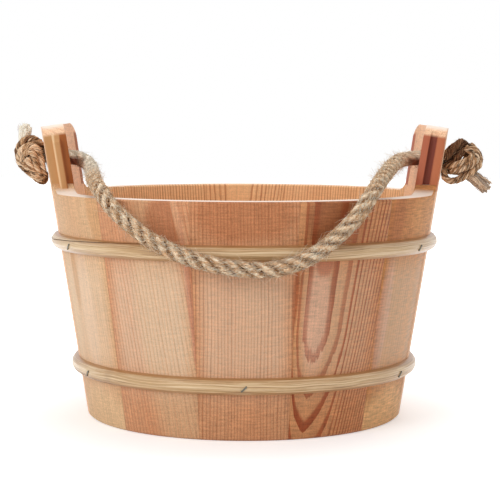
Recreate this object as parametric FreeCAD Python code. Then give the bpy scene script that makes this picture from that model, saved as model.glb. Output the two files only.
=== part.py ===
import FreeCAD, Part
import math
import os

# Wooden sauna bucket. Twelve tongued and grooved staves lean outwards round a three-board bottom,
# held by two stapled cane hoops. Two staves stand past the rim as ears for a knotted rope.
# Millimetres, +Z up. The origin is on the bucket's axis, at the floor. The ears are on X and the front is -Y.

# Wall
rim_radius = 135.0
base_radius = 110.4
wall_height = 155.5
stave_thickness = 15.0
stave_count = 12
arris_wear = 1.2  # worn edges round the rim
foot_chamfer = 1.2

# Tongue along one edge of each stave, groove along the other
tongue_width = 5.0
tongue_depth = 3.0
groove_clearance = 0.15

# Ears, and the small cove by which the staves beside them rise to meet them
ear_rise = 47.0
ear_corner_width = 15.0
ear_corner_height = 9.0
rope_hole_radius = 7.0
rope_hole_rise = 23.5  # from the rim to the hole's middle
hole_easing = 1.2
cove_width = 12.0
cove_height = 6.5

# Bottom, and the croze that holds its edge
bottom_lift = 14.0
bottom_thickness = 12.0
bottom_joint_width = 74.0  # width of the middle board
board_tongue_width = 4.0
board_tongue_depth = 3.5
croze_width = 7.0
croze_depth = 4.4
croze_clearance = 0.15
edge_tenon = 6.0  # thinned edge of the bottom that enters the croze
edge_bevel = 8.0  # slope from the thinned edge to the full thickness

# Cane hoops, pared half-round, each cut open by a long scarf on its left half
hoop_height = 11.0
hoop_proud = 5.5
hoop_flats = 6  # narrow flats that the knife leaves across the round
lower_hoop_lift = 36.5
upper_hoop_lift = 122.5
scarf_gap = 0.4
lower_scarf_rise = -7.3  # height that the scarf gains from the side to the front
upper_scarf_rise = 5.8

# Wire staples, set aslant through each hoop into every second stave
staple_crown = 5.0
staple_wire_width = 1.1
staple_wire_depth = 0.7
staple_leg = 12.0
staple_tilt = 45.0
staple_sink = 0.35  # how far the crown is driven into the cane
lap_staple_angle = 182.0

# Rope, its knots and its frayed tails
rope_diameter = 10.0
knot_length = 25.0
knot_radius = 16.0
knot_mouth_radius = 7.5
knot_flats = 8  # straight steps along the knot's outline
tail_start_radius = 4.8
tail_end_radius = 6.0
tail_length = 27.0
left_tail_way = (-0.21, -0.05, 0.98)
right_tail_way = (0.7, -0.08, -0.71)

# The rope's line from knot to knot: out of the left hole, over the rim, along the front, and back
rope_route = [
    (-139.2, 0.0, 177.5),
    (-130.0, -0.3, 178.9),
    (-119.4, -1.7, 179.4),
    (-110.8, -7.4, 176.7),
    (-106.6, -17.0, 172.8),
    (-104.6, -29.5, 169.6),
    (-102.2, -46.0, 167.0),
    (-99.4, -66.0, 164.8),
    (-96.4, -87.4, 163.7),
    (-91.5, -107.0, 160.4),
    (-84.0, -119.0, 150.9),
    (-73.5, -124.2, 141.7),
    (-63.2, -128.4, 134.0),
    (-53.0, -132.0, 128.2),
    (-41.0, -135.4, 122.9),
    (-27.5, -138.4, 118.5),
    (-12.0, -140.4, 115.5),
    (3.5, -140.8, 113.7),
    (18.5, -139.8, 113.8),
    (32.2, -137.4, 117.2),
    (43.8, -134.4, 122.6),
    (54.0, -131.0, 130.2),
    (63.7, -127.6, 138.8),
    (72.9, -124.6, 148.9),
    (79.2, -117.6, 158.2),
    (84.2, -104.6, 164.0),
    (89.6, -84.6, 168.2),
    (94.8, -63.0, 172.1),
    (100.2, -43.0, 175.6),
    (104.4, -27.8, 177.3),
    (106.6, -16.2, 177.8),
    (111.2, -6.7, 178.7),
    (119.9, -1.5, 179.8),
    (130.1, -0.3, 179.0),
    (139.2, 0.0, 177.5),
]

# Values that follow from those above
axis_z = FreeCAD.Vector(0, 0, 1)
centre = FreeCAD.Vector(0, 0, 0)
wall_slope = (rim_radius - base_radius) / wall_height
wall_lean = math.atan(wall_slope)
half_stave = 180.0 / stave_count
front_angle = 270.0
tongue_inset = (stave_thickness - tongue_width) / 2
ear_top = wall_height + ear_rise
croze_lift = bottom_lift + bottom_thickness / 2
margin = 10.0  # how far a cutting shape reaches past what it cuts


def outer_radius(z):
    """The wall's outer radius at a height."""
    return base_radius + wall_slope * z


def inner_radius(z):
    """The wall's inner radius at a height."""
    return outer_radius(z) - stave_thickness


def polygon_face(points):
    """A flat face inside a closed run of straight edges."""
    return Part.Face(Part.makePolygon([FreeCAD.Vector(*p) for p in points + points[:1]]))


def around_axis(angle):
    """The outward direction at an angle round the bucket's axis."""
    turn = math.radians(angle)
    return FreeCAD.Vector(math.cos(turn), math.sin(turn), 0)


def joint_strip(angle, top, side_gap, depth):
    """The strip that stands on a stave's edge plane: its tongue, or the space of its groove."""
    outward = around_axis(angle)
    across = axis_z.cross(outward)
    near = tongue_inset - side_gap
    far = tongue_inset + tongue_width + side_gap
    corners = [(outer_radius(z) - inset, z) for z, inset in ((0, near), (top, near), (top, far), (0, far))]
    face = polygon_face([tuple(outward * radius + axis_z * z) for radius, z in corners])
    return face.extrude(across * depth)


def stave_section(top):
    """The stave's section through the bucket's axis, with the croze cut in its inner side."""
    groove_low = croze_lift - croze_width / 2
    groove_high = croze_lift + croze_width / 2
    groove_radius = inner_radius(croze_lift) + croze_depth
    return polygon_face(
        [
            (outer_radius(0) - foot_chamfer, 0, 0),
            (outer_radius(foot_chamfer), 0, foot_chamfer),
            (outer_radius(top), 0, top),
            (inner_radius(top), 0, top),
            (inner_radius(groove_high), 0, groove_high),
            (groove_radius, 0, groove_high),
            (groove_radius, 0, groove_low),
            (inner_radius(groove_low), 0, groove_low),
            (inner_radius(foot_chamfer), 0, foot_chamfer),
            (inner_radius(0) + foot_chamfer, 0, 0),
        ]
    )


def stave_blank(top, angle):
    """One stave up to a height, before its joints are cut."""
    blank = stave_section(top).revolve(centre, axis_z, 2 * half_stave)
    blank.rotate(centre, axis_z, angle - half_stave)
    return blank


def with_joints(blank, tongue_top, angle):
    """The stave with a tongue on its anticlockwise edge and a groove in its clockwise one."""
    tongue = joint_strip(angle + half_stave, tongue_top, 0, tongue_depth)
    groove_top = ear_top + 2 * margin
    groove = joint_strip(angle - half_stave, groove_top, groove_clearance, tongue_depth + groove_clearance)
    return blank.fuse(tongue).removeSplitter().cut(groove)


def cove_cutter(angle, side):
    """What is cut away above the rim beside an ear, so that a cove is left against its edge."""
    outward = around_axis(angle)
    across = axis_z.cross(outward) * side
    radius = (cove_width**2 + cove_height**2) / (2 * cove_height)
    sweep = math.asin(cove_width / radius) / 2

    def place(along, rise):
        return outward * (inner_radius(wall_height) / 2) + across * along + axis_z * (wall_height + rise)

    ceiling = cove_height + 2 * margin
    middle = place(cove_width - radius * math.sin(sweep), radius * (1 - math.cos(sweep)))
    arc = Part.Arc(place(0, cove_height), middle, place(cove_width, 0)).toShape()
    reach = 2 * outer_radius(wall_height) * math.sin(math.radians(half_stave)) + margin
    corners = [
        place(cove_width, 0),
        place(reach, 0),
        place(reach, ceiling),
        place(-margin, ceiling),
        place(-margin, cove_height),
        place(0, cove_height),
    ]
    edges = [arc] + [Part.LineSegment(a, b).toShape() for a, b in zip(corners, corners[1:])]
    return Part.Face(Part.Wire(edges)).extrude(outward * outer_radius(wall_height))


def rim_arrises(stave):
    """The top edges of a stave that run along its outer and inner faces."""
    found = []
    for edge in stave.Edges:
        middle = edge.valueAt((edge.FirstParameter + edge.LastParameter) / 2)
        radius = math.hypot(middle.x, middle.y)
        on_face = min(abs(radius - outer_radius(middle.z)), abs(radius - inner_radius(middle.z))) < 0.01
        turned = edge.Vertexes[0].Point.getAngle(edge.Vertexes[-1].Point) > 0.01
        if middle.z > wall_height - 0.01 and on_face and turned:
            found.append(edge)
    return found


def plain_stave(angle):
    """A stave that ends at the rim. Beside an ear its end rises to it in a cove."""
    beside = [side for side in (-1, 1) if (angle + side * 2 * half_stave) % 180 == 0]
    top = wall_height + (cove_height + margin if beside else 0)
    blank = stave_blank(top, angle)
    for side in beside:
        blank = blank.cut(cove_cutter(angle + side * half_stave, -side))
    wear = blank.makeFillet if beside else blank.makeChamfer  # the coves are rounded, the plain ends bevelled
    blank = wear(arris_wear, rim_arrises(blank))
    tongue_top = wall_height + (cove_height if 1 in beside else 0)
    return with_joints(blank, tongue_top, angle)


def ear_outline(distance):
    """The ear's outline at a distance from the axis: a flat top with rounded corners."""
    half_width = distance * math.tan(math.radians(half_stave))
    corner_start = half_width - ear_corner_width
    corner_foot = ear_top - ear_corner_height
    edges = []

    def line(a, b):
        edges.append(Part.LineSegment(FreeCAD.Vector(0, *a), FreeCAD.Vector(0, *b)).toShape())

    def corner(side):
        start = FreeCAD.Vector(0, side * corner_start, ear_top)
        end = FreeCAD.Vector(0, side * half_width, corner_foot)
        slant = math.radians(45)
        middle = FreeCAD.Vector(
            0,
            side * (corner_start + ear_corner_width * math.sin(slant)),
            corner_foot + ear_corner_height * math.cos(slant),
        )
        edges.append(Part.Arc(start, middle, end).toShape())

    shoulder = (half_width + margin, corner_foot - margin)
    line((-corner_start, ear_top), (corner_start, ear_top))
    corner(1)
    line((half_width, corner_foot), shoulder)
    line(shoulder, (shoulder[0], -margin - ear_top))
    line((shoulder[0], -margin - ear_top), (-shoulder[0], -margin - ear_top))
    line((-shoulder[0], -margin - ear_top), (-shoulder[0], shoulder[1]))
    line((-shoulder[0], shoulder[1]), (-half_width, corner_foot))
    corner(-1)
    return Part.Wire(Part.__sortEdges__(edges))


def ear_room():
    """The room an ear stave fills: cut square to the stave, and as wide at each depth as its joints."""
    square_to_stave = FreeCAD.Vector(math.cos(wall_lean), 0, -math.sin(wall_lean))
    face_radius = inner_radius(ear_top)
    outlines = []
    for distance in (inner_radius(0) - margin, outer_radius(ear_top) + margin):
        depth = (distance - face_radius) / math.cos(wall_lean)
        wire = ear_outline(distance)
        wire.translate(FreeCAD.Vector(face_radius, 0, 0) + square_to_stave * depth)
        outlines.append(wire)
    return Part.makeLoft(outlines, True, True)


def rope_hole():
    """The drilled hole through the right ear, square to the stave, with both mouths eased."""
    lift = wall_height + rope_hole_rise
    middle = FreeCAD.Vector(outer_radius(lift) - stave_thickness / 2, 0, lift)
    outward = FreeCAD.Vector(math.cos(wall_lean), 0, -math.sin(wall_lean))
    half_wall = stave_thickness * math.cos(wall_lean) / 2
    mouth_radius = rope_hole_radius + 2 * hole_easing
    half = [
        (half_wall - hole_easing, rope_hole_radius),
        (half_wall + hole_easing, mouth_radius),
        (half_wall + margin, mouth_radius),
        (half_wall + margin, 0),
    ]
    profile = [(-along, radius) for along, radius in reversed(half)] + half
    side = FreeCAD.Vector(0, 1, 0)
    face = polygon_face([tuple(middle + outward * along + side * radius) for along, radius in profile])
    return face.revolve(middle, outward, 360).toNurbs()  # as splines, because those cut the coned wall surely


def ear_stave(angle):
    """A stave that stands past the rim and carries one end of the rope."""
    top = ear_top + margin
    room = ear_room()
    hole = rope_hole()
    for shape in (room, hole):
        shape.rotate(centre, axis_z, angle)
    return with_joints(stave_blank(top, angle), top, angle).common(room).cut(hole)


def bottom_disc():
    """The whole bottom, thinned round its edge to enter the croze."""
    edge_radius = inner_radius(croze_lift) + croze_depth - croze_clearance
    half_edge = croze_width / 2 - croze_clearance
    shoulder = edge_radius - edge_tenon
    full = shoulder - edge_bevel
    low = croze_lift - bottom_thickness / 2
    high = croze_lift + bottom_thickness / 2
    return polygon_face(
        [
            (0, 0, low),
            (full, 0, low),
            (shoulder, 0, croze_lift - half_edge),
            (edge_radius, 0, croze_lift - half_edge),
            (edge_radius, 0, croze_lift + half_edge),
            (shoulder, 0, croze_lift + half_edge),
            (full, 0, high),
            (0, 0, high),
        ]
    ).revolve(centre, axis_z, 360)


def board_strip(low_y, high_y, gap):
    """A straight strip under the bottom's outline from one edge to another, with a tongue on its far edge."""
    length = 4 * base_radius
    body = Part.makeBox(length, high_y - low_y, 2 * bottom_thickness)
    body.translate(FreeCAD.Vector(-length / 2, low_y, croze_lift - bottom_thickness))
    tongue = Part.makeBox(length, board_tongue_depth + gap, board_tongue_width + 2 * gap)
    tongue.translate(FreeCAD.Vector(-length / 2, high_y, croze_lift - board_tongue_width / 2 - gap))
    return body, tongue


def bottom_boards():
    """The three boards of the bottom, from front to back, joined by tongue and groove."""
    disc = bottom_disc()
    half_middle = bottom_joint_width / 2
    edges = [-2 * base_radius, -half_middle, half_middle, 2 * base_radius]
    boards = []
    for index, (low_y, high_y) in enumerate(zip(edges, edges[1:])):
        body, tongue = board_strip(low_y, high_y, 0)
        if index < 2:
            body = body.fuse(tongue)
        if index > 0:
            body = body.cut(board_strip(edges[index - 1], low_y, groove_clearance)[1])
        boards.append(disc.common(body))
    return boards


def hoop(lift, scarf_rise):
    """A half-round cane hoop seated on the wall, cut open on its left half by a long flat scarf."""
    low = FreeCAD.Vector(outer_radius(lift - hoop_height / 2), 0, lift - hoop_height / 2)
    high = FreeCAD.Vector(outer_radius(lift + hoop_height / 2), 0, lift + hoop_height / 2)
    outward = FreeCAD.Vector(math.cos(wall_lean), 0, -math.sin(wall_lean))
    crown = (low + high) / 2 + outward * hoop_proud
    round_side = Part.Arc(low, crown, high).toShape().discretize(hoop_flats + 1)
    ring = polygon_face([tuple(point) for point in round_side]).revolve(centre, axis_z, 360)
    reach = outer_radius(lift) + hoop_proud + margin
    slit = Part.makeBox(reach, 2 * reach, scarf_gap)
    slit.translate(FreeCAD.Vector(-reach, -reach, -scarf_gap / 2))
    slit.rotate(centre, FreeCAD.Vector(1, 0, 0), -math.degrees(math.atan(scarf_rise / outer_radius(lift))))
    slit.translate(axis_z * lift)
    return ring.cut(slit)


def staple(lift, angle):
    """One wire staple driven through a hoop's crown, its crown aslant on the cane."""
    half_crown = staple_crown / 2
    width = staple_wire_width
    crown = Part.makeBox(staple_crown, width, staple_wire_depth)
    crown.translate(FreeCAD.Vector(-half_crown, -width / 2, -staple_sink))
    shape = crown
    for place in (-half_crown, half_crown - staple_wire_depth):
        leg = Part.makeBox(staple_wire_depth, width, staple_leg)
        leg.translate(FreeCAD.Vector(place, -width / 2, -staple_sink - staple_leg))
        shape = shape.fuse(leg)
    shape = shape.removeSplitter()
    outward = FreeCAD.Vector(math.cos(wall_lean), 0, -math.sin(wall_lean))
    shape.rotate(centre, axis_z, 90 + staple_tilt)
    shape.rotate(centre, FreeCAD.Vector(0, 1, 0), 90 + math.degrees(wall_lean))
    shape.translate(FreeCAD.Vector(outer_radius(lift), 0, lift) + outward * hoop_proud)
    shape.rotate(centre, axis_z, angle)
    return shape


def staple_angles():
    """The middle of every second stave, counted from the front one."""
    return [front_angle + 4 * half_stave * index for index in range(stave_count // 2)]


def rope_tube():
    """The rope between its knots: straight runs joined by arcs as large as the runs allow."""
    points = [FreeCAD.Vector(*p) for p in rope_route]
    edges = []
    length = 0.0
    here = points[0]
    for before, corner, after in zip(points, points[1:], points[2:]):
        back = (before - corner).normalize()
        ahead = (after - corner).normalize()
        half_turn = (math.pi - back.getAngle(ahead)) / 2
        reach = 0.45 * min((before - corner).Length, (after - corner).Length)
        radius = reach / math.tan(half_turn)
        start = corner + back * reach
        end = corner + ahead * reach
        inward = (back + ahead).normalize()
        middle = corner + inward * (radius / math.cos(half_turn) - radius)
        edges.append(Part.LineSegment(here, start).toShape())
        edges.append(Part.Arc(start, middle, end).toShape())
        length += (start - here).Length + 2 * half_turn * radius
        here = end
        print(f"rope bend radius {radius:.1f} mm")
    edges.append(Part.LineSegment(here, points[-1]).toShape())
    length += (points[-1] - here).Length
    section = Part.Wire(
        Part.makeCircle(rope_diameter / 2, points[0], (points[1] - points[0]).normalize())
    )
    tube = Part.Wire(edges).makePipeShell([section], True, False)
    expected = math.pi * rope_diameter**2 / 4 * length
    print(f"rope length {length:.1f} mm, volume {tube.Volume:.0f} mm3, section times length {expected:.0f} mm3")
    return tube


def knot(end, before, tail_way):
    """The outer shape of a stopper knot and its tail, outside an ear."""
    along = (end - before).normalize()
    far = end + along * knot_length
    crown = (end + far) / 2
    side = along.cross(FreeCAD.Vector(0, 1, 0)).normalize()
    mouth = knot_mouth_radius
    arc = Part.Arc(end + side * mouth, crown + side * knot_radius, far + side * mouth).toShape()
    outline = [end] + arc.discretize(knot_flats + 1) + [far]
    lump = polygon_face([tuple(point) for point in outline]).revolve(end, along, 360)
    tail = Part.makeCone(tail_start_radius, tail_end_radius, tail_length, crown, FreeCAD.Vector(*tail_way))
    return lump.fuse(tail).removeSplitter()


def build():
    """Every node of the bucket, by name."""
    nodes = {}
    turn = 2 * half_stave
    nodes["ear_stave_right"] = ear_stave(0)
    nodes["ear_stave_left"] = ear_stave(180)
    side_count = stave_count // 2 - 1
    for index in range(side_count):
        nodes[f"front_stave_{index + 1}"] = plain_stave(180 + turn * (index + 1))
        nodes[f"back_stave_{index + 1}"] = plain_stave(180 - turn * (index + 1))
    for name, board in zip(("front", "middle", "back"), bottom_boards()):
        nodes[f"bottom_board_{name}"] = board
    lower = [staple(lower_hoop_lift, angle) for angle in staple_angles()]
    # the rope hangs against the upper hoop in front, so it has no staple there
    upper = [staple(upper_hoop_lift, angle) for angle in staple_angles()[1:] + [lap_staple_angle]]
    nodes["hoop_lower"] = hoop(lower_hoop_lift, lower_scarf_rise)
    nodes["hoop_upper"] = hoop(upper_hoop_lift, upper_scarf_rise)
    for name in list(nodes):
        if "stave" in name or "hoop" in name:
            nodes[name] = nodes[name].cut(lower + upper)
    nodes["staples_lower"] = Part.makeCompound(lower)
    nodes["staples_upper"] = Part.makeCompound(upper)
    nodes["bail_rope"] = rope_tube()
    ends = [FreeCAD.Vector(*p) for p in rope_route]
    nodes["left_knot"] = knot(ends[0], ends[1], left_tail_way)
    nodes["right_knot"] = knot(ends[-1], ends[-2], right_tail_way)
    return nodes


os.makedirs("parts", exist_ok=True)
for node_name, node_shape in build().items():
    solids = node_shape.Solids
    node_shape = solids[0] if len(solids) == 1 else Part.makeCompound(solids)
    node_shape.exportStep(f"parts/{node_name}.step")
    print(node_name, len(solids), "solid" if node_shape.isValid() else "NOT VALID", f"{node_shape.Volume:.0f} mm3")
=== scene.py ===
import math
import random

import bpy
from mathutils import Matrix, Vector, noise


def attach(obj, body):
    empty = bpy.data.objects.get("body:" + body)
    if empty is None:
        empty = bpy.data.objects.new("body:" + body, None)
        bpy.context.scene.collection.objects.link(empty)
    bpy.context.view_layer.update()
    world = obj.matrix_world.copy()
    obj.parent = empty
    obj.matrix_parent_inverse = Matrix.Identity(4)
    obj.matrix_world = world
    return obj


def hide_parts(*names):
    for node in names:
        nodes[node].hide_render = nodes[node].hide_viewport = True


# A wooden sauna bucket: pine staves, two cane hoops, steel staples and a knotted jute rope.
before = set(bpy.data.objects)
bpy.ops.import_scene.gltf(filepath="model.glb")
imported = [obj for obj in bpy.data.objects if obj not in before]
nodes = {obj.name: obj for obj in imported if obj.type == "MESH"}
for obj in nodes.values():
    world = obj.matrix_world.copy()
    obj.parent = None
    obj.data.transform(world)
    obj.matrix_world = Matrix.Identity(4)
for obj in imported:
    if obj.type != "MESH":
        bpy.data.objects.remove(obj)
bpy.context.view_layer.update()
scene = bpy.context.scene
mm = 0.001
print("frame loaded:", len(nodes), "nodes")

bucket = {
    "rimRadius": 135.0,
    "baseRadius": 110.4,
    "wallHeight": 155.5,
    "staveThickness": 15.0,
    "staveCount": 12,
}
bucket["lean"] = math.atan((bucket["rimRadius"] - bucket["baseRadius"]) / bucket["wallHeight"])

# The camera stands in front, a little above the rim, and looks slightly down. It is in metres and radians.
view = {
    "distance": 1.1,
    "height": 0.2095,
    "pitch": 0.0866,
    "yaw": 0.0036,
    "roll": 0.0037,
    "focalPixels": 1560,
    "framePixels": 500,
    "sensor": 36,
}


def placeCamera():
    lens = bpy.data.cameras.new("view")
    lens.sensor_width = view["sensor"]
    lens.lens = view["sensor"] * view["focalPixels"] / view["framePixels"]
    camera = bpy.data.objects.new("camera", lens)
    aim = (
        Matrix.Rotation(-view["yaw"], 4, "Z")
        @ Matrix.Rotation(math.pi / 2 - view["pitch"], 4, "X")
        @ Matrix.Rotation(view["roll"], 4, "Z")
    )
    camera.matrix_world = Matrix.Translation((0, -view["distance"], view["height"])) @ aim
    scene.collection.objects.link(camera)
    scene.camera = camera


placeCamera()

# The bail rope's route in mm, from the left knot through both ears to the right knot.
ropeRoute = [
    (-139.2, 0, 177.5), (-130, -0.3, 178.9), (-119.4, -1.7, 179.4), (-110.8, -7.4, 176.7),
    (-106.6, -17, 172.8), (-104.6, -29.5, 169.6), (-102.2, -46, 167), (-99.4, -66, 164.8),
    (-96.4, -87.4, 163.7), (-91.5, -107, 160.4), (-84, -119, 150.9), (-73.5, -124.2, 141.7),
    (-63.2, -128.4, 134), (-53, -132, 128.2), (-41, -135.4, 122.9), (-27.5, -138.4, 118.5),
    (-12, -140.4, 115.5), (3.5, -140.8, 113.7), (18.5, -139.8, 113.8), (32.2, -137.4, 117.2),
    (43.8, -134.4, 122.6), (54, -131, 130.2), (63.7, -127.6, 138.8), (72.9, -124.6, 148.9),
    (79.2, -117.6, 158.2), (84.2, -104.6, 164), (89.6, -84.6, 168.2), (94.8, -63, 172.1),
    (100.2, -43, 175.6), (104.4, -27.8, 177.3), (106.6, -16.2, 177.8), (111.2, -6.7, 178.7),
    (119.9, -1.5, 179.8), (130.1, -0.3, 179), (139.2, 0, 177.5),
]

rope = {
    "diameter": 10.0,
    "strands": 3,
    "strandRadius": 2.32,  # three round strands that touch fill the rope's diameter
    "lay": 29.0,  # one full turn of a strand, right-handed
    "yarns": 9,
    "yarnRadius": 0.7,
    "yarnLay": -17.0,  # the strands are twisted the other way
    "yarnShade": 0.9,  # how deep the painted shade is in the grooves between yarns
    "toneSpread": 0.5,  # how much the yarns differ in shade
    "wander": 0.6,
    "wanderLength": 4.5,
    "step": 1.2,  # from one ring of the mesh to the next
    "sides": 6,
    "paleLeft": (42.0, 91.0),  # how far from the left ear the rope is painted pale, partly bleached and partly painted light, and where it is beige again
    "paleRight": (7.07, 58.5),
}
rope["strandRing"] = rope["strandRadius"] * 2 / math.sqrt(3)
rope["yarnRing"] = rope["strandRadius"] - rope["yarnRadius"]


def smoothLine(name, points, step):
    # the route's own NURBS line, read back and divided evenly
    curve = bpy.data.curves.new(name, "CURVE")
    curve.dimensions = "3D"
    spline = curve.splines.new("NURBS")
    spline.points.add(len(points) - 1)
    for place, point in zip(spline.points, points):
        place.co = (*(Vector(point) * mm), 1)
    spline.order_u = 3
    spline.use_endpoint_u = True
    curve.resolution_u = 16
    holder = bpy.data.objects.new(name, curve)
    scene.collection.objects.link(holder)
    mesh = bpy.data.meshes.new_from_object(holder)
    line = [vertex.co.copy() for vertex in mesh.vertices]
    bpy.data.objects.remove(holder)
    bpy.data.meshes.remove(mesh)
    return divideEvenly(line, step * mm)


def divideEvenly(line, step):
    runs = [(end - start).length for start, end in zip(line, line[1:])]
    count = max(2, round(sum(runs) / step))
    stride = sum(runs) / count
    points = [line[0].copy()]
    walked = 0
    for start, end, run in zip(line, line[1:], runs):
        while len(points) < count and walked + run >= stride * len(points):
            points.append(start.lerp(end, (stride * len(points) - walked) / run))
        walked += run
    return points + [line[-1].copy()]


def framesAlong(line):
    # a point, its direction and two sides that never spin about the line
    last = len(line) - 1
    start = (line[1] - line[0]).normalized()
    side = start.cross(Vector((0.31, 0.27, 0.91)))
    frames = []
    run = 0
    for place, point in enumerate(line):
        ahead = (line[min(place + 1, last)] - line[max(place - 1, 0)]).normalized()
        side = (side - ahead * side.dot(ahead)).normalized()
        if place:
            run += (point - line[place - 1]).length
        frames.append((point, ahead, side, ahead.cross(side), run))
    return frames


def windRound(line, count, ring, lay, phase=0):
    # `count` lines wound round one, `ring` mm out, one turn in `lay` mm
    frames = framesAlong(line)
    lines = []
    for each in range(count):
        wound = []
        for point, ahead, side, up, run in frames:
            turn = 2 * math.pi * (each / count + run / (lay * mm)) + phase
            wound.append(point + (side * math.cos(turn) + up * math.sin(turn)) * ring * mm)
        lines.append(wound)
    return lines


def wander(line, amount, length, seed):
    # hand-made unevenness: each point strays a little, and its neighbours with it
    moved = []
    for point in line:
        where = point / (length * mm) + Vector((seed * 7.3, seed * 3.1, seed * 5.7))
        moved.append(point + noise.noise_vector(where) * amount * mm)
    return moved


def startMesh():
    return {"points": [], "faces": [], "fibre": [], "crown": [], "tint": [], "pale": []}


def addTube(build, line, radii, tint, crown=None, sides=6, pale=None):
    # one yarn; `fibre` runs along it in mm, and `crown` tells how far out of the rope a point lies
    first = len(build["points"])
    for place, (point, ahead, side, up, run) in enumerate(framesAlong(line)):
        radius = radii[place] * mm
        for corner in range(sides):
            turn = 2 * math.pi * corner / sides
            out = side * math.cos(turn) + up * math.sin(turn)
            vertex = point + out * radius
            build["points"].append(vertex)
            build["fibre"].append((math.cos(turn), math.sin(turn), run / mm + tint * 900))
            build["crown"].append(crown(vertex, place) if crown else 1.0)
            build["tint"].append(tint)
            build["pale"].append(pale[place] if pale else 0.0)
    rings = len(line)
    for ring in range(rings - 1):
        for corner in range(sides):
            here = first + ring * sides + corner
            there = first + ring * sides + (corner + 1) % sides
            build["faces"].append((here, there, there + sides, here + sides))
    build["faces"].append(tuple(first + corner for corner in reversed(range(sides))))
    end = first + (rings - 1) * sides
    build["faces"].append(tuple(end + corner for corner in range(sides)))


def finishMesh(build, name, material):
    mesh = bpy.data.meshes.new(name)
    mesh.from_pydata([tuple(point) for point in build["points"]], [], build["faces"])
    for key, kind, field in (("fibre", "FLOAT_VECTOR", "vector"), ("crown", "FLOAT", "value"),
                             ("tint", "FLOAT", "value"), ("pale", "FLOAT", "value")):
        layer = mesh.attributes.new(key, kind, "POINT")
        flat = build[key]
        if kind == "FLOAT_VECTOR":
            flat = [number for triple in flat for number in triple]
        layer.data.foreach_set(field, flat)
    mesh.polygons.foreach_set("use_smooth", [True] * len(mesh.polygons))
    mesh.materials.append(material)
    mesh.update()
    piece = bpy.data.objects.new(name, mesh)
    scene.collection.objects.link(piece)
    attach(piece, "root")
    return piece


def linear(code):
    # an sRGB hex colour as the renderer's linear one
    channels = [int(code[place:place + 2], 16) / 255 for place in (1, 3, 5)]
    bright = [c / 12.92 if c <= 0.04045 else ((c + 0.055) / 1.055) ** 2.4 for c in channels]
    return (*bright, 1.0)


def grey(value):
    return (value, value, value, 1.0)


def addNode(tree, kind, values=None, *terms):
    # values go by name to the node's settings and sockets, and terms to its sockets in order;
    # each is a constant, a socket to link from, or a node, whose first output is meant
    node = tree.nodes.new("ShaderNode" + kind)
    for name, value in [*(values or {}).items(), *enumerate(terms)]:
        if isinstance(value, bpy.types.Node):
            value = value.outputs[0]
        if name == "stops":
            ramp = node.color_ramp.elements
            for extra in range(len(value) - 2):
                ramp.new(0.5)
            for stop, (position, colour) in zip(ramp, value):
                stop.position = position
                stop.color = colour
        elif isinstance(value, bpy.types.NodeSocket):
            tree.links.new(value, node.inputs[name])
        elif isinstance(name, str) and hasattr(node, name):
            setattr(node, name, value)
        else:
            node.inputs[name].default_value = value
    return node


def newMaterial(name):
    material = bpy.data.materials.new(name)
    material.use_nodes = True
    material.node_tree.nodes.clear()
    return material, material.node_tree


def closeMaterial(tree, values, height=None, depth=0.1):
    # the surface itself, which `height` raises by as much as `depth` mm
    if height is not None:
        raised = addNode(tree, "Bump", {"Strength": 1.0, "Distance": depth * mm, "Height": height})
        values = dict(values, Normal=raised)
    addNode(tree, "OutputMaterial", {"Surface": addNode(tree, "BsdfPrincipled", values)})


def layCoats(tree, colour, coats):
    # coats of colour one over the other: a tint, its share, and the masks that hold it back;
    # a mask is a source, its value where the coat is absent and where it is full, and how it eases between
    for tint, share, *masks in coats:
        for source, absent, full, *ease in masks:
            mask = addNode(tree, "MapRange", {"interpolation_type": ease[0] if ease else "LINEAR",
                                              "From Min": absent, "From Max": full}, source)
            share = addNode(tree, "Math", {"operation": "MULTIPLY"}, share, mask)
        colour = addNode(tree, "MixRGB", {}, share, colour, tint)
    return colour


# Retted jute: dull, hairy and beige, with darker yarns and painted shade in the grooves between strands.
jute = {
    "fibreWidth": 0.5,  # of a yarn's radius, drawn coarser than a real fibre so that it shows
    "fibreLength": 2.6,
    "yarnTone": 0.5,
    "patchScale": 55.0,  # per metre, so patches are about 18 mm long
    "patchTone": 0.35,
    "speckle": 0.6,  # mm
    "speckleTone": 1.3,
    # near the ears the rope is painted pale: partly bleached, partly painted light that makes up for the ear's
    # shadow on it
    "bleachedAndLit": "#fff7e6",
    # beside the ears the rope's underside is painted red-brown: painted shade under the rope, partly a real
    # red-brown stain; places are in metres
    "stainAndShade": "#8a3a20",
    "stainAndShadeShare": 0.85,
    "stainAndShadeStart": (0.110, 0.118),
    "stainAndShadeEnd": (0.134, 0.130),
    "stainAndShadeTop": (0.1805, 0.178),
    "roughness": 0.9,
    "specular": 0.08,
    "sheen": 0.03,
    "sheenRoughness": 0.6,
    "bump": 0.18,
}


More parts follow.
